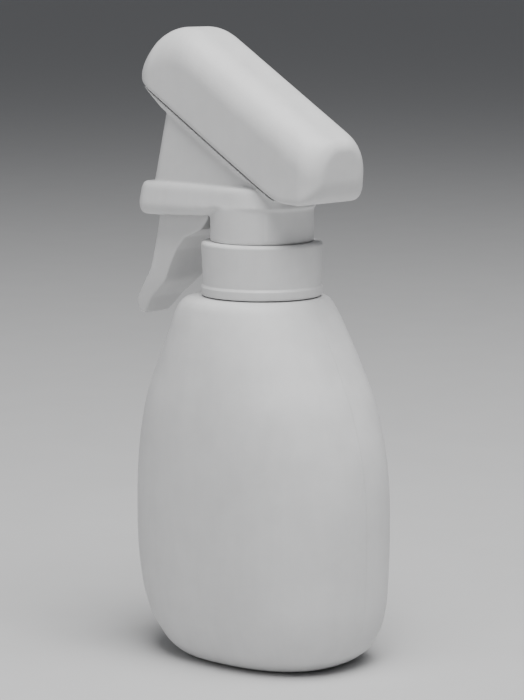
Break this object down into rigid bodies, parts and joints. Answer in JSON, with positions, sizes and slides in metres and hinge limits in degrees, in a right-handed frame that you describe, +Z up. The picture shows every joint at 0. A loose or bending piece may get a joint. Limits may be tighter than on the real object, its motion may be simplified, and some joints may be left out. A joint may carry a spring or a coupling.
{
  "type": "trigger spray bottle",
  "caption": "Oval squeeze-waisted spray bottle with a screw collar and a sloping hooded trigger pump head that draws from a dip tube.",
  "frame": {"origin": "middle of the footprint, on the surface that the bottle stands on", "axes": "+Z up through the neck, -Y the way the nozzle sprays, +X to the left of the person squeezing, the neck axis at y = 0.0024"},
  "size_m": [0.0676, 0.0968, 0.2122],
  "materials": {
    "bottle": "blown polyethylene, satin",
    "collar": "moulded, satin",
    "neck_gasket": "soft",
    "housing": "moulded, satin",
    "shroud": "moulded, satin",
    "pump_body": "moulded, satin",
    "cylinder_bushing": "moulded, satin",
    "inlet_housing": "moulded, satin",
    "inlet_ball": "polished",
    "dip_tube": "extruded tube",
    "tube_filter": "moulded, satin",
    "vent_valve": "soft",
    "trigger": "moulded, satin",
    "trigger_pin": "ground",
    "piston": "moulded, satin",
    "piston_seal": "soft",
    "return_spring": "drawn wire",
    "outlet_valve": "soft",
    "outlet_spring": "drawn wire",
    "swirl_insert": "moulded, satin",
    "nozzle_cap": "moulded, satin",
    "nozzle_seal": "soft"
  },
  "bodies": {
    "bottle": {"bottle": "bottle"},
    "head": {"housing": "housing", "shroud": "shroud", "pump_body": "pump_body", "cylinder_bushing": "cylinder_bushing", "inlet_housing": "inlet_housing", "dip_tube": "dip_tube", "tube_filter": "tube_filter", "vent_valve": "vent_valve", "neck_gasket": "neck_gasket", "trigger_pin": "trigger_pin", "return_spring": "return_spring", "outlet_spring": "outlet_spring", "swirl_insert": "swirl_insert"},
    "collar": {"collar": "collar"},
    "trigger": {"trigger": "trigger"},
    "piston": {"piston": "piston", "piston_seal": "piston_seal"},
    "nozzle": {"nozzle_cap": "nozzle_cap", "nozzle_seal": "nozzle_seal"},
    "inlet_ball": {"inlet_ball": "inlet_ball"},
    "outlet_valve": {"outlet_valve": "outlet_valve"}
  },
  "joints": [
    {"name": "head_lift", "type": "slide", "parent": "bottle", "child": "head", "axis": [0, 0, 1], "range_m": [0, 0.00528]},
    {"name": "collar_turn", "type": "hinge", "parent": "head", "child": "collar", "pos_m": [0, 0.0024, 0.133], "axis": [0, 0, 1], "range_deg": [0, 450]},
    {"name": "trigger_squeeze", "type": "hinge", "parent": "head", "child": "trigger", "pos_m": [0, -0.0251, 0.183], "axis": [1, 0, 0], "range_deg": [0, 8.5], "stiffness_Nm_per_rad": 0.85, "springref_deg": -4.3},
    {"name": "piston_slide", "type": "slide", "parent": "head", "child": "piston", "axis": [0, 1, 0], "range_m": [0, 0.0032], "deforming": ["return_spring"]},
    {"name": "nozzle_turn", "type": "hinge", "parent": "head", "child": "nozzle", "pos_m": [0, -0.03555, 0.20062], "axis": [0, -0.848, 0.5299], "range_deg": [0, 90]},
    {"name": "inlet_ball_lift", "type": "slide", "parent": "head", "child": "inlet_ball", "axis": [0, 0, 1], "range_m": [0, 0.0012]},
    {"name": "outlet_valve_lift", "type": "slide", "parent": "head", "child": "outlet_valve", "axis": [0, -0.848, 0.5299], "range_m": [0, 0.0008], "stiffness_N_per_m": 300, "springref_m": -0.001, "deforming": ["outlet_spring"]}
  ],
  "couplings": [
    {"joint": "collar_turn", "follows": "head_lift", "rad_per_m": 1485.4},
    {"joint": "piston_slide", "follows": "trigger_squeeze", "m_per_rad": 0.021}
  ]
}
